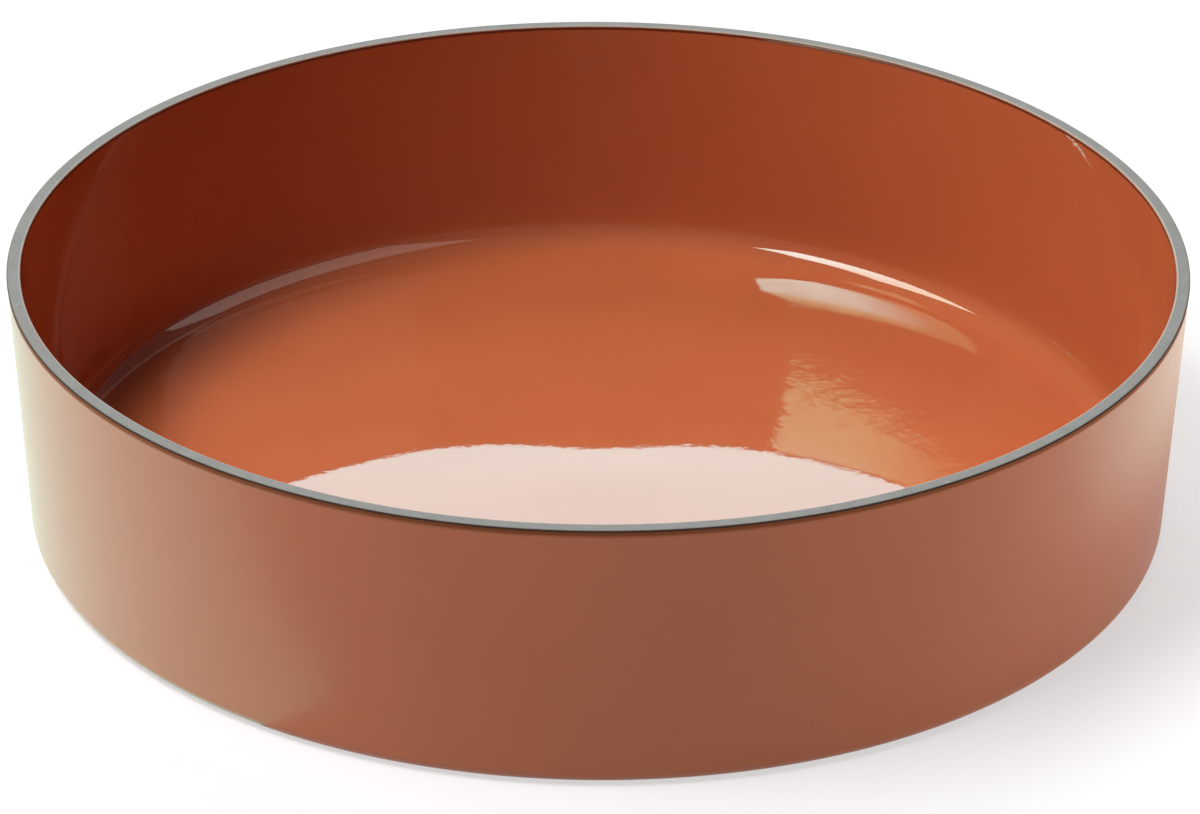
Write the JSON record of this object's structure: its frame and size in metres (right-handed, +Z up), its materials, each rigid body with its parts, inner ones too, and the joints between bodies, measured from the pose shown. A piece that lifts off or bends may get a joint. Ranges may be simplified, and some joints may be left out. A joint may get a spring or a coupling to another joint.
{
  "type": "baking dish",
  "caption": "Round, straight-sided ceramic baking dish, glossy terracotta inside and satin outside, with a bare grey clay rim and foot ring.",
  "frame": {"origin": "centre of the foot ring, on the surface that the dish stands on", "axes": "+Z up through the middle of the open rim; the dish is round, so +X and +Y are free"},
  "size_m": [0.3, 0.3, 0.07],
  "materials": {
    "bare_clay": "unglazed grey stoneware, ground flat, matt",
    "gloss_glaze": "glossy terracotta-orange glaze",
    "satin_glaze": "satin terracotta glaze"
  },
  "bodies": {
    "root": {"clay_body": "bare_clay", "inner_glaze": "gloss_glaze", "outer_glaze": "satin_glaze", "base_glaze": "satin_glaze"}
  },
  "joints": []
}
